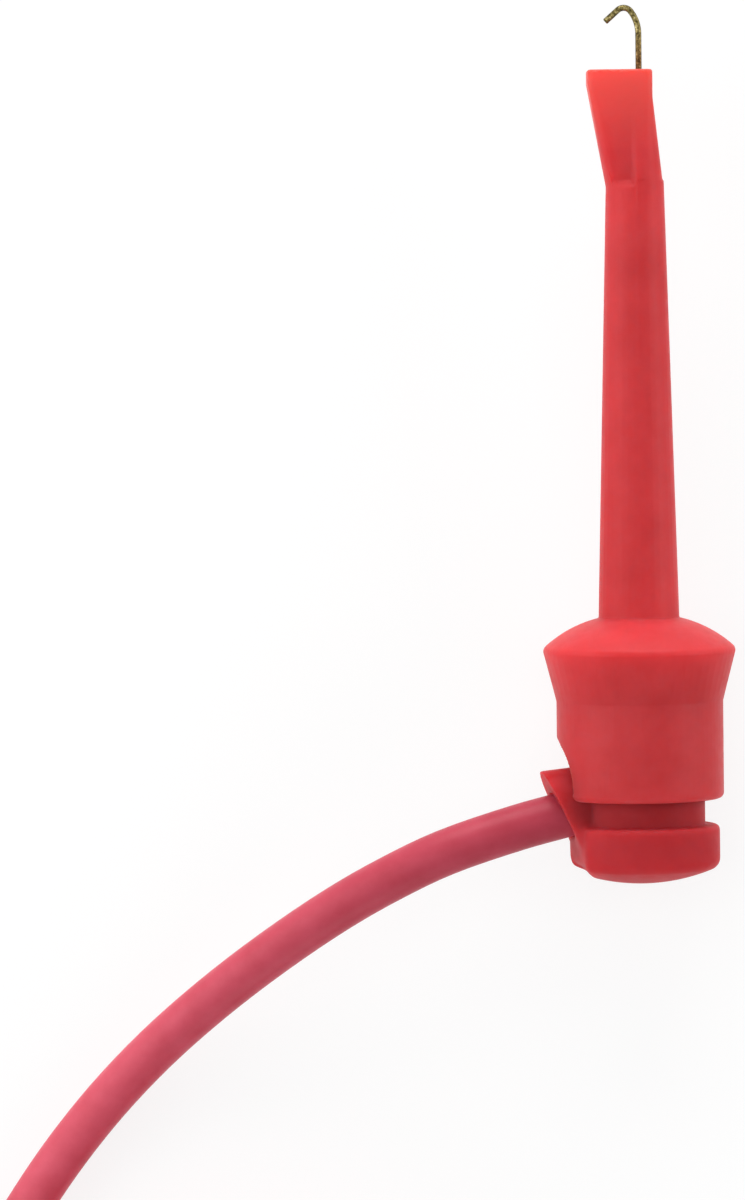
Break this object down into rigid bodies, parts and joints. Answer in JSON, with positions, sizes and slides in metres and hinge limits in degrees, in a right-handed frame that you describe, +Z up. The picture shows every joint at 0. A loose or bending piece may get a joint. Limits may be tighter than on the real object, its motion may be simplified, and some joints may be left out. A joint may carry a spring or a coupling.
{
  "type": "test lead",
  "caption": "Flexible test lead with a spring-loaded mini hook clip at one end and a bunch-pin plug at the other, its spare length coiled and tied.",
  "frame": {"origin": "on the table, under the middle of the clip's own box", "axes": "+Z up from the table, +Y along the lying clip toward its hook, lead leaving toward -X"},
  "size_m": [0.0779, 0.142, 0.0131],
  "materials": {
    "red_nylon": "moulded nylon, satin",
    "gold_wire": "gold-plated wire",
    "spring_steel": "bright drawn wire",
    "crimp_brass": "crimped sleeve",
    "copper_strands": "bare stranded copper",
    "cable_jacket": "soft extruded jacket, satin",
    "tie_strap": "woven strap",
    "plug_red": "moulded, semi-gloss",
    "plug_brass": "turned and plated",
    "screw_steel": "turned"
  },
  "bodies": {
    "plunger_body": {"thumb_cap": "red_nylon", "plunger": "red_nylon", "hook_contact": "gold_wire", "return_spring": "spring_steel", "crimp_sleeve": "crimp_brass", "conductor": "copper_strands", "cable": "cable_jacket", "cable_coil": "cable_jacket", "cable_tail": "cable_jacket", "coil_tie": "tie_strap", "plug_boot": "plug_red", "plug_handle": "plug_red", "plug_pin": "plug_brass", "plug_screw": "screw_steel"},
    "barrel_body": {"nose_barrel": "red_nylon", "finger_collar": "red_nylon"}
  },
  "joints": [
    {"name": "barrel_slide", "type": "slide", "parent": "plunger_body", "child": "barrel_body", "axis": [0, 0.9967, 0.0817], "range_m": [-0.0013, 0.0042], "stiffness_N_per_m": 200, "springref_m": 0.009, "deforming": ["return_spring"]}
  ]
}
